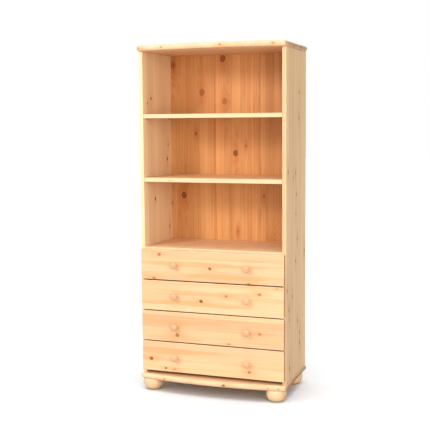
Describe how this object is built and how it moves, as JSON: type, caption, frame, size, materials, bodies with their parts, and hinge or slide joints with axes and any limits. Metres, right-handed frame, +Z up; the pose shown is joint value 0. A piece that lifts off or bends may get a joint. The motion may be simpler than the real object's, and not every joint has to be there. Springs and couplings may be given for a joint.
{
  "type": "bookcase",
  "caption": "Tall pine bookcase: open compartments with adjustable shelves above drawers with turned knobs, a bowed top and base, and round bun feet.",
  "frame": {"origin": "on the floor, under the middle of the bookcase's bounding box", "axes": "+Z up, front towards -Y, +X to the right as seen from the front"},
  "size_m": [0.81, 0.462, 1.833],
  "materials": {
    "pine_slab": "satin clear lacquer",
    "pine_side": "satin clear lacquer",
    "pine_shelf": "satin clear lacquer",
    "pine_back": "satin clear lacquer on veneered board",
    "pine_front": "satin clear lacquer",
    "pine_box": "sanded, unlacquered",
    "plywood": "sanded plywood",
    "turned_pine": "satin clear lacquer",
    "beech": "waxed",
    "zinc_steel": "zinc plated"
  },
  "bodies": {
    "carcass": {"top_panel": "pine_slab", "base_panel": "pine_slab", "side_panel_left": "pine_side", "side_panel_right": "pine_side", "back_panel": "pine_back", "shelf_fixed": "pine_shelf", "foot_front_left": "turned_pine", "foot_stud_front_left": "zinc_steel", "foot_front_right": "turned_pine", "foot_stud_front_right": "zinc_steel", "foot_back_left": "turned_pine", "foot_stud_back_left": "zinc_steel", "foot_back_right": "turned_pine", "foot_stud_back_right": "zinc_steel", "shelf_pin_upper_front_left": "zinc_steel", "shelf_pin_upper_back_left": "zinc_steel", "shelf_pin_upper_front_right": "zinc_steel", "shelf_pin_upper_back_right": "zinc_steel", "shelf_pin_lower_front_left": "zinc_steel", "shelf_pin_lower_back_left": "zinc_steel", "shelf_pin_lower_front_right": "zinc_steel", "shelf_pin_lower_back_right": "zinc_steel", "runner_1_left": "beech", "runner_1_right": "beech", "runner_2_left": "beech", "runner_2_right": "beech", "runner_3_left": "beech", "runner_3_right": "beech", "runner_4_left": "beech", "runner_4_right": "beech"},
    "shelf_upper": {"shelf_upper": "pine_shelf"},
    "shelf_lower": {"shelf_lower": "pine_shelf"},
    "drawer_1": {"drawer_1_front": "pine_front", "drawer_1_back": "pine_box", "drawer_1_bottom": "plywood", "drawer_1_side_left": "pine_box", "drawer_1_knob_left": "turned_pine", "drawer_1_side_right": "pine_box", "drawer_1_knob_right": "turned_pine"},
    "drawer_2": {"drawer_2_front": "pine_front", "drawer_2_back": "pine_box", "drawer_2_bottom": "plywood", "drawer_2_side_left": "pine_box", "drawer_2_knob_left": "turned_pine", "drawer_2_side_right": "pine_box", "drawer_2_knob_right": "turned_pine"},
    "drawer_3": {"drawer_3_front": "pine_front", "drawer_3_back": "pine_box", "drawer_3_bottom": "plywood", "drawer_3_side_left": "pine_box", "drawer_3_knob_left": "turned_pine", "drawer_3_side_right": "pine_box", "drawer_3_knob_right": "turned_pine"},
    "drawer_4": {"drawer_4_front": "pine_front", "drawer_4_back": "pine_box", "drawer_4_bottom": "plywood", "drawer_4_side_left": "pine_box", "drawer_4_knob_left": "turned_pine", "drawer_4_side_right": "pine_box", "drawer_4_knob_right": "turned_pine"}
  },
  "joints": [
    {"name": "drawer_1_slide", "type": "slide", "parent": "carcass", "child": "drawer_1", "axis": [0, -1, 0], "range_m": [0, 0.28]},
    {"name": "drawer_2_slide", "type": "slide", "parent": "carcass", "child": "drawer_2", "axis": [0, -1, 0], "range_m": [0, 0.28]},
    {"name": "drawer_3_slide", "type": "slide", "parent": "carcass", "child": "drawer_3", "axis": [0, -1, 0], "range_m": [0, 0.28]},
    {"name": "drawer_4_slide", "type": "slide", "parent": "carcass", "child": "drawer_4", "axis": [0, -1, 0], "range_m": [0, 0.28]},
    {"name": "shelf_upper_slide", "type": "slide", "parent": "carcass", "child": "shelf_upper", "axis": [0, -1, 0], "range_m": [0, 0.3]},
    {"name": "shelf_lower_slide", "type": "slide", "parent": "carcass", "child": "shelf_lower", "axis": [0, -1, 0], "range_m": [0, 0.3]}
  ]
}
